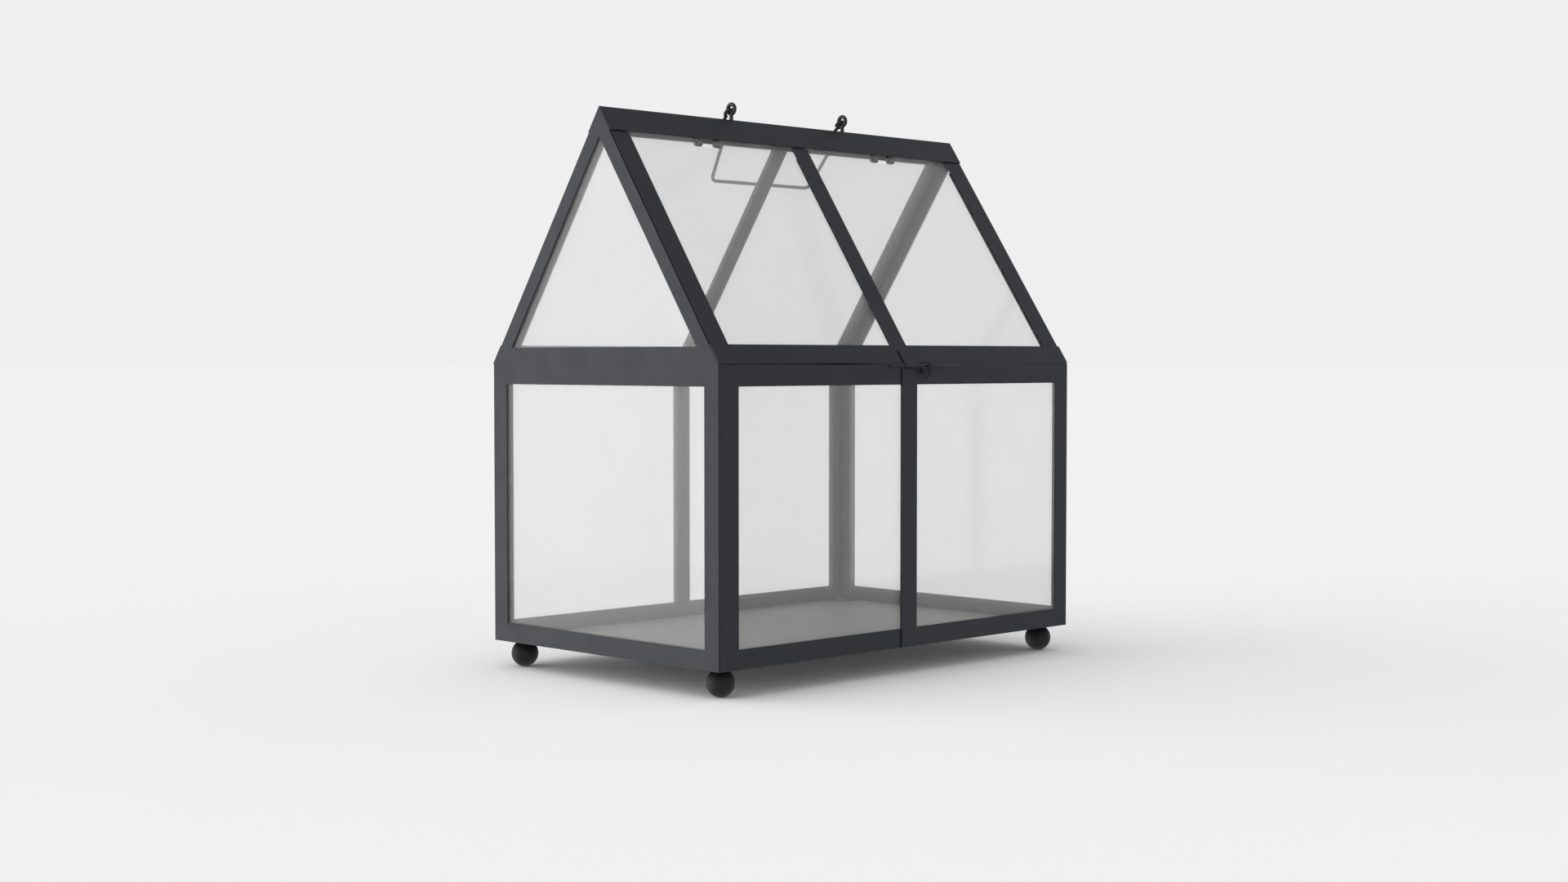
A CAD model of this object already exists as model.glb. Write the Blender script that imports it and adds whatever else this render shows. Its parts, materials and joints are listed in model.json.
import json
import math

import bpy
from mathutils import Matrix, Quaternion, Vector


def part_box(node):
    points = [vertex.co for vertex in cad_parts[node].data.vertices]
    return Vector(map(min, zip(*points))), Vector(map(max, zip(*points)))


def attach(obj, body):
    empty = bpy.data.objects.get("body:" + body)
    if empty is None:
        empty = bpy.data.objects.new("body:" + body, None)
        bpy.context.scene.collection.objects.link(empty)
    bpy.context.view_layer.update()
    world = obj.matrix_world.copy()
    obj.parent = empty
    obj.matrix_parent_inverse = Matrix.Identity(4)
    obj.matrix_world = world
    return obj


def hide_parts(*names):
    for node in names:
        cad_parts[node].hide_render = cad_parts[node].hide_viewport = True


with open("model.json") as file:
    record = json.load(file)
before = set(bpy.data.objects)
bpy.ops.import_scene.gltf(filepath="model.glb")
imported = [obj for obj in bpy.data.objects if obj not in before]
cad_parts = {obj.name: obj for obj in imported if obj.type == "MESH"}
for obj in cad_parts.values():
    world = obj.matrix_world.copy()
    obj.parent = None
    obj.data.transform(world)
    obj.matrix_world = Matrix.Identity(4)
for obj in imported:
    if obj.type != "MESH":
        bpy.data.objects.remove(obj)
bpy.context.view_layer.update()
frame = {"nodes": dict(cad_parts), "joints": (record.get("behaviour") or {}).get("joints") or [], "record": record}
record = frame["record"]
MM = 0.001
# Steel: radius that the shading gives to every sharp edge, and the bump height of its coat
EDGE_ROUND = 0.35 * MM
COAT_BUMP = 0.05 * MM
# Glass: what each face passes, what it mirrors when seen square on, and what its dust scatters
PASSED = (0.955, 0.957, 0.956)
MIRROR_FLOOR = 0.024
MIRROR_RISE = 0.85
HAZE = 0.078


# ---------------------------------------------------------------- node helpers

# The Mix node's sockets by kind: its two numbers, its two colours, and the colour it gives
NUMBER_INS = (2, 3)
COLOUR_INS = (6, 7)
COLOUR_OUT = 2


def new_material(name):
    """An empty node material, its node tree and its output node."""
    mat = bpy.data.materials.new(name)
    mat.use_nodes = True
    nt = mat.node_tree
    for n in list(nt.nodes):
        nt.nodes.remove(n)
    out = nt.nodes.new("ShaderNodeOutputMaterial")
    return mat, nt, out


def coords(nt):
    """Object coordinates: metres in the row frame, the same on every piece."""
    return nt.nodes.new("ShaderNodeTexCoord").outputs["Object"]


def noise(nt, vec, scale, detail=3.0, rough=0.55, distort=0.0):
    """Noise from 0 to 1, with the given number of features to the metre."""
    n = nt.nodes.new("ShaderNodeTexNoise")
    nt.links.new(vec, n.inputs["Vector"])
    n.inputs["Scale"].default_value = scale
    n.inputs["Detail"].default_value = detail
    n.inputs["Roughness"].default_value = rough
    n.inputs["Distortion"].default_value = distort
    return n.outputs["Fac"]


def ramp(nt, fac, lo, hi, out_lo, out_hi):
    """Turns the range lo to hi into out_lo to out_hi, and holds it there outside that range."""
    n = nt.nodes.new("ShaderNodeMapRange")
    nt.links.new(fac, n.inputs["Value"])
    n.inputs["From Min"].default_value = lo
    n.inputs["From Max"].default_value = hi
    n.inputs["To Min"].default_value = out_lo
    n.inputs["To Max"].default_value = out_hi
    return n.outputs["Result"]


def maths(nt, op, a, b):
    """A sum on two sockets or numbers."""
    n = nt.nodes.new("ShaderNodeMath")
    n.operation = op
    for i, v in enumerate((a, b)):
        if isinstance(v, (int, float)):
            n.inputs[i].default_value = v
        else:
            nt.links.new(v, n.inputs[i])
    return n.outputs[0]


def mix_colour(nt, fac, a, b):
    """Colour a where fac is 0 and b where it is 1."""
    n = nt.nodes.new("ShaderNodeMix")
    n.data_type = "RGBA"
    nt.links.new(fac, n.inputs["Factor"])
    for i, v in zip(COLOUR_INS, (a, b)):
        if isinstance(v, tuple):
            n.inputs[i].default_value = v + (1.0,)
        else:
            nt.links.new(v, n.inputs[i])
    return n.outputs[COLOUR_OUT]


def bump(nt, height, strength, distance, normal=None):
    n = nt.nodes.new("ShaderNodeBump")
    n.inputs["Strength"].default_value = strength
    n.inputs["Distance"].default_value = distance
    nt.links.new(height, n.inputs["Height"])
    if normal is not None:
        nt.links.new(normal, n.inputs["Normal"])
    return n.outputs["Normal"]


def stretched(nt, vec, scale):
    """The coordinates scaled by a different amount along each axis, which stretches a pattern."""
    n = nt.nodes.new("ShaderNodeMapping")
    n.inputs["Scale"].default_value = scale
    nt.links.new(vec, n.inputs["Vector"])
    return n.outputs["Vector"]


# ---------------------------------------------------------------- materials


def coated_steel(name, dark, light, rough, grain=1.0, spec=0.35):
    """Powder-coated steel: fine grain, faint cloudiness, scuffs, a little rub along the edges."""
    mat, nt, out = new_material(name)
    vec = coords(nt)
    p = nt.nodes.new("ShaderNodeBsdfPrincipled")
    cloud = noise(nt, vec, 38.0, 4.0, 0.6, 0.4)
    speck = noise(nt, vec, 1500.0, 2.0)
    tone = maths(nt, "ADD", maths(nt, "MULTIPLY", cloud, 0.75), maths(nt, "MULTIPLY", speck, 0.25))
    base = mix_colour(nt, ramp(nt, tone, 0.30, 0.70, 0.0, 1.0), dark, light)
    # Faint scuffs, flattened so that they run level
    scuff = noise(nt, stretched(nt, vec, (26.0, 26.0, 190.0)), 1.0, 5.0, 0.7, 0.2)
    scuffs = ramp(nt, scuff, 0.62, 0.80, 0.0, 0.35)
    base = mix_colour(nt, scuffs, base, tuple(min(1.0, c * 1.9 + 0.004) for c in light))
    # Every edge looks slightly rounded, and the coat is a little paler where an edge is rubbed
    edge = nt.nodes.new("ShaderNodeBevel")
    edge.samples = 4
    edge.inputs["Radius"].default_value = EDGE_ROUND
    flat = nt.nodes.new("ShaderNodeNewGeometry").outputs["Normal"]
    turn = nt.nodes.new("ShaderNodeVectorMath")
    turn.operation = "DOT_PRODUCT"
    nt.links.new(edge.outputs["Normal"], turn.inputs[0])
    nt.links.new(flat, turn.inputs[1])
    rubbed = ramp(nt, turn.outputs["Value"], 0.98, 0.80, 0.0, 0.5)
    rubbed = maths(nt, "MULTIPLY", rubbed, ramp(nt, cloud, 0.35, 0.65, 0.2, 1.0))
    base = mix_colour(nt, rubbed, base, tuple(c * 2.2 + 0.010 for c in light))
    nt.links.new(base, p.inputs["Base Color"])
    r = ramp(nt, cloud, 0.25, 0.75, rough - 0.06, rough + 0.07)
    nt.links.new(maths(nt, "ADD", r, maths(nt, "MULTIPLY", speck, 0.05)), p.inputs["Roughness"])
    p.inputs["Specular IOR Level"].default_value = spec
    p.inputs["Specular Tint"].default_value = (0.93, 0.96, 1.0, 1.0)
    peel = noise(nt, vec, 900.0, 2.0, 0.5)
    fine = noise(nt, vec, 3200.0, 2.0, 0.6)
    height = maths(nt, "ADD", peel, maths(nt, "MULTIPLY", fine, 0.45))
    coat = bump(nt, height, 0.28 * grain, COAT_BUMP, edge.outputs["Normal"])
    nt.links.new(coat, p.inputs["Normal"])
    nt.links.new(p.outputs[0], out.inputs["Surface"])
    return mat


def tray_steel(name):
    """The floor sheet: coated, dull and a little cloudy."""
    mat, nt, out = new_material(name)
    vec = coords(nt)
    p = nt.nodes.new("ShaderNodeBsdfPrincipled")
    cloud = noise(nt, vec, 16.0, 5.0, 0.62, 0.6)
    speck = noise(nt, vec, 1300.0, 2.0)
    tone = maths(nt, "ADD", cloud, maths(nt, "MULTIPLY", speck, 0.18))
    shade = ramp(nt, tone, 0.35, 0.85, 0.0, 1.0)
    base = mix_colour(nt, shade, (0.150, 0.148, 0.145), (0.185, 0.183, 0.18))
    nt.links.new(base, p.inputs["Base Color"])
    nt.links.new(ramp(nt, cloud, 0.3, 0.7, 0.48, 0.62), p.inputs["Roughness"])
    p.inputs["Specular IOR Level"].default_value = 0.4
    nt.links.new(bump(nt, noise(nt, vec, 800.0, 3.0), 0.22, COAT_BUMP), p.inputs["Normal"])
    nt.links.new(p.outputs[0], out.inputs["Surface"])
    return mat


def zinc_plate(name):
    """Dull zinc plate: crystal cells, and a grain drawn out along the ridge."""
    mat, nt, out = new_material(name)
    vec = coords(nt)
    p = nt.nodes.new("ShaderNodeBsdfPrincipled")
    cell = nt.nodes.new("ShaderNodeTexVoronoi")
    cell.inputs["Scale"].default_value = 420.0
    nt.links.new(vec, cell.inputs["Vector"])
    grain = noise(nt, stretched(nt, vec, (1.0, 14.0, 14.0)), 380.0, 4.0)
    tone = maths(nt, "ADD", maths(nt, "MULTIPLY", cell.outputs["Distance"], 0.5), grain)
    shade = ramp(nt, tone, 0.4, 1.0, 0.0, 1.0)
    base = mix_colour(nt, shade, (0.12, 0.122, 0.126), (0.20, 0.202, 0.205))
    nt.links.new(base, p.inputs["Base Color"])
    p.inputs["Metallic"].default_value = 1.0
    nt.links.new(ramp(nt, grain, 0.3, 0.7, 0.34, 0.5), p.inputs["Roughness"])
    nt.links.new(bump(nt, grain, 0.2, 0.04 * MM), p.inputs["Normal"])
    nt.links.new(p.outputs[0], out.inputs["Surface"])
    return mat


def glazing_tape(name):
    """Black foam tape: open pores and no shine."""
    mat, nt, out = new_material(name)
    vec = coords(nt)
    p = nt.nodes.new("ShaderNodeBsdfPrincipled")
    foam = noise(nt, vec, 1100.0, 3.0)
    shade = ramp(nt, foam, 0.3, 0.7, 0.0, 1.0)
    base = mix_colour(nt, shade, (0.010, 0.010, 0.010), (0.024, 0.024, 0.025))
    nt.links.new(base, p.inputs["Base Color"])
    nt.links.new(ramp(nt, foam, 0.3, 0.7, 0.75, 0.9), p.inputs["Roughness"])
    p.inputs["Specular IOR Level"].default_value = 0.25
    nt.links.new(bump(nt, foam, 0.5, 0.08 * MM), p.inputs["Normal"])
    nt.links.new(p.outputs[0], out.inputs["Surface"])
    return mat


def pane_glass(name):
    """Horticultural pane: passes most light, mirrors more at a slant, with faint smears and dust."""
    mat, nt, out = new_material(name)
    vec = coords(nt)
    weight = nt.nodes.new("ShaderNodeLayerWeight")
    weight.inputs["Blend"].default_value = 0.5
    slant = maths(nt, "POWER", weight.outputs["Facing"], 5.0)
    smear = noise(nt, stretched(nt, vec, (9.0, 9.0, 26.0)), 1.0, 5.0, 0.65, 0.8)
    dust = noise(nt, vec, 900.0, 3.0, 0.7)
    clear = nt.nodes.new("ShaderNodeBsdfTransparent")
    clear.inputs["Color"].default_value = PASSED + (1.0,)
    mirror = nt.nodes.new("ShaderNodeBsdfPrincipled")
    mirror.inputs["Metallic"].default_value = 1.0
    mirror.inputs["Base Color"].default_value = (0.97, 0.975, 0.975, 1.0)
    nt.links.new(ramp(nt, smear, 0.3, 0.8, 0.04, 0.16), mirror.inputs["Roughness"])
    ripple = noise(nt, vec, 14.0, 2.0)
    nt.links.new(bump(nt, ripple, 0.05, 0.4 * MM), mirror.inputs["Normal"])
    gloss = nt.nodes.new("ShaderNodeMixShader")
    mirrored = maths(nt, "ADD", maths(nt, "MULTIPLY", slant, MIRROR_RISE), MIRROR_FLOOR)
    nt.links.new(mirrored, gloss.inputs[0])
    nt.links.new(clear.outputs[0], gloss.inputs[1])
    nt.links.new(mirror.outputs[0], gloss.inputs[2])
    # Bloom: a thin even veil of dust that scatters light, thicker in the smears
    near_side = nt.nodes.new("ShaderNodeBsdfDiffuse")
    far_side = nt.nodes.new("ShaderNodeBsdfTranslucent")
    veil = nt.nodes.new("ShaderNodeMixShader")
    veil.inputs[0].default_value = 0.5
    for i, scatter in enumerate((near_side, far_side)):
        scatter.inputs["Color"].default_value = (0.95, 0.95, 0.94, 1.0)
        nt.links.new(scatter.outputs[0], veil.inputs[i + 1])
    smears = ramp(nt, smear, 0.35, 0.75, 0.0, 0.010)
    specks = ramp(nt, dust, 0.5, 0.8, 0.0, 0.008)
    haze = maths(nt, "ADD", maths(nt, "ADD", smears, specks), HAZE)
    mix = nt.nodes.new("ShaderNodeMixShader")
    nt.links.new(haze, mix.inputs[0])
    nt.links.new(gloss.outputs[0], mix.inputs[1])
    nt.links.new(veil.outputs[0], mix.inputs[2])
    nt.links.new(mix.outputs[0], out.inputs["Surface"])
    return mat


MATERIALS = {
    "frame": coated_steel(
        "anthracite_coat", (0.0080, 0.0090, 0.0135), (0.0125, 0.0137, 0.0190), 0.50
    ),
    "wire": coated_steel(
        "black_wire_coat", (0.011, 0.011, 0.012), (0.018, 0.018, 0.020), 0.46, grain=0.7
    ),
    "feet": coated_steel(
        "black_foot_coat", (0.007, 0.0075, 0.008), (0.012, 0.0125, 0.013), 0.58, grain=0.8, spec=0.25
    ),
    "tray": tray_steel("tray_coat"),
    "zinc": zinc_plate("zinc_plate"),
    "tape": glazing_tape("glazing_tape"),
    "glass": pane_glass("pane_glass"),
}

# Every CAD node takes the material of its slot in the record
for part in record["subparts"]:
    node = frame["nodes"][part["node"]]
    mat = MATERIALS[part["material_slot"]]
    if not node.material_slots:
        node.data.materials.append(mat)
    for s in node.material_slots:
        s.link = "OBJECT"
        s.material = mat

# ---------------------------------------------------------------- bent wires

# Sides of a wire's section, steps in each of its arcs, and a cut end's chamfer as a share of its radius
WIRE_SIDES = 20
ARC_STEPS = 9
END_CHAMFER = 0.25
# Degrees between two points of a curl that is drawn point by point
CURL_STEP = 10


def new_object(name, data):
    """A new object in the scene that shows the mesh, light or camera data."""
    obj = bpy.data.objects.new(name, data)
    bpy.context.collection.objects.link(obj)
    return obj


def rounded(points, bends):
    """The points with each inner corner turned into an arc of its bend radius."""
    path = [points[0]]
    for i, bend in enumerate(bends, start=1):
        before = (points[i - 1] - points[i]).normalized()
        after = (points[i + 1] - points[i]).normalized()
        half = before.angle(after) / 2
        centre = points[i] + (before + after).normalized() * (bend / math.sin(half))
        start = points[i] + before * (bend / math.tan(half)) - centre
        end = points[i] + after * (bend / math.tan(half)) - centre
        axis = start.cross(end).normalized()
        for k in range(ARC_STEPS + 1):
            path.append(centre + Quaternion(axis, start.angle(end) * k / ARC_STEPS) @ start)
    return path + [points[-1]]


def wire(name, path, radii, node, body):
    """A round wire swept along the path as one closed mesh, which stands for a node on a body."""
    if not isinstance(radii, list):
        radii = [radii] * len(path)
    ends = [path[0]] + path + [path[-1]]
    tangents = [(ends[i + 2] - ends[i]).normalized() for i in range(len(path))]
    cut = END_CHAMFER * radii[-1]
    stations = [(path[0] - tangents[0] * cut, tangents[0], radii[0] - cut)]
    stations += list(zip(path, tangents, radii))
    stations += [(path[-1] + tangents[-1] * cut, tangents[-1], radii[-1] - cut)]
    side = tangents[0].orthogonal().normalized()
    verts = []
    for i, (point, tangent, radius) in enumerate(stations):
        if i:
            side = stations[i - 1][1].rotation_difference(tangent) @ side
        for k in range(WIRE_SIDES):
            turn = Quaternion(tangent, 2 * math.pi * k / WIRE_SIDES)
            verts.append(point + (turn @ side) * radius)
    faces = []
    for i in range(len(stations) - 1):
        for k in range(WIRE_SIDES):
            a, b = i * WIRE_SIDES + k, i * WIRE_SIDES + (k + 1) % WIRE_SIDES
            faces.append((a, b, b + WIRE_SIDES, a + WIRE_SIDES))
    last = (len(stations) - 1) * WIRE_SIDES
    faces.append(tuple(reversed(range(WIRE_SIDES))))
    faces.append(tuple(range(last, last + WIRE_SIDES)))
    mesh = bpy.data.meshes.new(name)
    mesh.from_pydata(verts, [], faces)
    for polygon in mesh.polygons:
        polygon.use_smooth = len(polygon.vertices) == 4
    mesh.materials.append(MATERIALS["wire"])
    piece = new_object(name, mesh)
    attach(piece, body)
    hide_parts(node)


JOINT_AT = {j["child"]: Vector(j["pos_m"]) for j in frame["joints"]}

# Carry handle: one wire from the loop at one eye, over its shoulder and knee, across the grip
# and back. A loop closes round each eye. The bends run from the grip's end to the loop.
HANDLE_R = 1.5 * MM
HANDLE_PLAY = 0.05 * MM
LINK_R = 3.4 * MM
LINK_START = 50
LINK_END = 300
EYE_R = 3.95 * MM
EYE_WIRE_R = 1.65 * MM
HANDLE_BENDS = [6 * MM, 14 * MM, 5 * MM, 1.6 * MM]
LINK_LEAD = 2 * MM
eye_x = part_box("ridge_eyes")[1][0] - EYE_WIRE_R
ridge_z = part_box("ridge_cap")[1][2]
eye = JOINT_AT["carry_handle"]
grip_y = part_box("carry_handle")[1][1] - HANDLE_R
grip_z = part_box("carry_handle")[0][2] + HANDLE_R
GRIP_HALF = 58.5 * MM
SHOULDER = Vector((0.0, 9.6, 0.8)) * MM
KNEE = Vector((64.1, 12.88, -15.44)) * MM


def handle_side(s):
    """Half of the handle's path, from the grip out to the loop at one eye."""
    middle = Vector((s * eye_x, eye.y, eye.z))
    shoulder = Vector((s * eye_x, SHOULDER.y, ridge_z + SHOULDER.z))
    knee = Vector((s * KNEE.x, KNEE.y, ridge_z + KNEE.z))
    out = (shoulder - middle).normalized()
    across = Vector((s, 0.0, 0.0))
    centre = middle + out * EYE_R
    root = centre + out * LINK_R
    middle_of_grip = Vector((0.0, grip_y, grip_z))
    grip_end = Vector((s * GRIP_HALF, grip_y, grip_z))
    corners = [middle_of_grip, grip_end, knee, shoulder, root]
    path = rounded(corners + [root + across * LINK_LEAD], HANDLE_BENDS)[:-1]
    for angle in range(LINK_START, LINK_END + 1, CURL_STEP):
        a = math.radians(angle)
        path.append(centre + (out * math.cos(a) + across * math.sin(a)) * LINK_R)
    return path


left, right = handle_side(-1), handle_side(1)
handle_path = left[:0:-1] + right[1:]
wire("carry_handle_wire", handle_path, HANDLE_R - HANDLE_PLAY, "carry_handle", "carry_handle")

# Latch loop: a long straight wire held by the latch plate, with a drop point in its middle
LOOP_R = 1.0 * MM
LOOP_TILT = math.radians(24)
LOOP_HALF = 4.5 * MM
LOOP_DROP = 16.5 * MM
LOOP_BENDS = [1.6 * MM, 1.9 * MM, 1.6 * MM]
loop_at = JOINT_AT["latch_loop"]
loop_end = (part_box("latch_loop")[1][0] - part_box("latch_loop")[0][0]) / 2
down = Vector((0.0, -math.sin(LOOP_TILT), -math.cos(LOOP_TILT)))
along = Vector((1.0, 0.0, 0.0))
loop_corners = [
    loop_at - along * loop_end,
    loop_at - along * LOOP_HALF,
    loop_at + down * LOOP_DROP,
    loop_at + along * LOOP_HALF,
    loop_at + along * loop_end,
]
wire("latch_drop_loop", rounded(loop_corners, LOOP_BENDS), LOOP_R, "latch_loop", "latch_loop")

# Latch catch: a wire hook on a flared root, which stands out of the eave rail through the drop
# loop and curls up. STEM_OUT is how far each of its first points stands off the rail.
CATCH_R = 0.85 * MM
BASE_R = 3.2 * MM
STEM_OUT = [0.2 * MM, 0.8 * MM, 1.1 * MM, 1.2 * MM]
STEM_R = [0.8 * BASE_R, 0.8 * BASE_R, 0.62 * BASE_R, CATCH_R]
CURL_R = 1.9 * MM
CURL_OUT = 8.0 * MM
CURL_TURN = 250
catch_lo, catch_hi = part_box("latch_catch")
catch_x = (catch_lo[0] + catch_hi[0]) / 2
catch_z = catch_lo[2] + BASE_R
rail_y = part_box("eave_rail_front")[0][1]
stem = [Vector((catch_x, rail_y - out, catch_z)) for out in STEM_OUT]
curl_at = Vector((catch_x, rail_y - CURL_OUT, catch_z + CURL_R))
curl = []
for angle in range(0, CURL_TURN + 1, CURL_STEP):
    a = math.radians(angle)
    curl.append(curl_at + Vector((0.0, -math.sin(a), -math.cos(a))) * CURL_R)
wire("latch_catch_hook", stem + curl, STEM_R + [CATCH_R] * len(curl), "latch_catch", "frame")

# ---------------------------------------------------------------- stage, light, camera

FLOOR_HALF = 60.0
FLOOR_ALBEDO = 0.97
floor_corners = [(x * FLOOR_HALF, y * FLOOR_HALF, 0) for x, y in ((-1, -1), (1, -1), (1, 1), (-1, 1))]
floor_mesh = bpy.data.meshes.new("floor")
floor_mesh.from_pydata(floor_corners, [], [(0, 1, 2, 3)])
floor = new_object("floor", floor_mesh)
floor_mat, floor_nt, floor_out = new_material("pale_floor")
matt = floor_nt.nodes.new("ShaderNodeBsdfDiffuse")
matt.inputs["Color"].default_value = (FLOOR_ALBEDO, FLOOR_ALBEDO, FLOOR_ALBEDO, 1.0)
floor_nt.links.new(matt.outputs[0], floor_out.inputs["Surface"])
floor_mesh.materials.append(floor_mat)
# The steel and the glass reflect the pale surroundings and not the floor
floor.visible_glossy = False


def sun(name, towards, strength, angle):
    """A distant light that shines in the given direction, its disc the given angle across."""
    light = bpy.data.lights.new(name, "SUN")
    light.energy = strength
    light.angle = math.radians(angle)
    new_object(name, light).rotation_euler = Vector(towards).to_track_quat("-Z", "Y").to_euler()


def smoothed(nt, value, lo, hi, out_lo, out_hi):
    """Like ramp, with soft ends."""
    result = ramp(nt, value, lo, hi, out_lo, out_hi)
    result.node.interpolation_type = "SMOOTHSTEP"
    return result


world = bpy.data.worlds.new("studio")
bpy.context.scene.world = world
world.use_nodes = True
wnt = world.node_tree
# Pale surroundings with one broad soft light at the object's rear left, and a ceiling dimmer than
# the walls. The backdrop that the camera sees is even.
WORLD_L = 0.863
SOFTBOX_L = 2.7
SOFTBOX_EDGE = 0.58
SOFTBOX_FULL = 0.93
SOFTBOX_DIR = Vector((-0.70, 0.70, 0.14)).normalized()
CEILING = 0.60
CEILING_FROM = 0.15
CEILING_FULL = 0.95
bg = wnt.nodes["Background"]
way = wnt.nodes.new("ShaderNodeTexCoord").outputs["Generated"]
dot = wnt.nodes.new("ShaderNodeVectorMath")
dot.operation = "DOT_PRODUCT"
wnt.links.new(way, dot.inputs[0])
dot.inputs[1].default_value = SOFTBOX_DIR
axes = wnt.nodes.new("ShaderNodeSeparateXYZ")
wnt.links.new(way, axes.inputs[0])
walls = smoothed(wnt, dot.outputs["Value"], SOFTBOX_EDGE, SOFTBOX_FULL, WORLD_L, SOFTBOX_L)
dimming = smoothed(wnt, axes.outputs["Z"], CEILING_FROM, CEILING_FULL, 1.0, CEILING)
room = maths(wnt, "MULTIPLY", walls, dimming)
path = wnt.nodes.new("ShaderNodeLightPath")
seen = wnt.nodes.new("ShaderNodeMix")
seen.data_type = "FLOAT"
wnt.links.new(path.outputs["Is Camera Ray"], seen.inputs["Factor"])
wnt.links.new(room, seen.inputs[NUMBER_INS[0]])
seen.inputs[NUMBER_INS[1]].default_value = WORLD_L
wnt.links.new(seen.outputs[0], bg.inputs["Strength"])
bg.inputs["Color"].default_value = (1.0, 1.0, 1.0, 1.0)

sun("overhead", (0.12, -0.10, -1.0), 0.36, 70)

# The camera stands off the front left corner, level with the eaves
CAMERA_TILT = math.radians(87.843)
CAMERA_TURN = math.radians(-44.96)
cam_data = bpy.data.cameras.new("camera")
cam_data.lens = 50.0
cam_data.sensor_width = 36.0
cam = new_object("camera", cam_data)
cam.location = (-1.318, -1.3145, 0.256)
cam.rotation_euler = (CAMERA_TILT, 0.0, CAMERA_TURN)
bpy.context.scene.camera = cam
bpy.context.scene.view_settings.view_transform = "Standard"
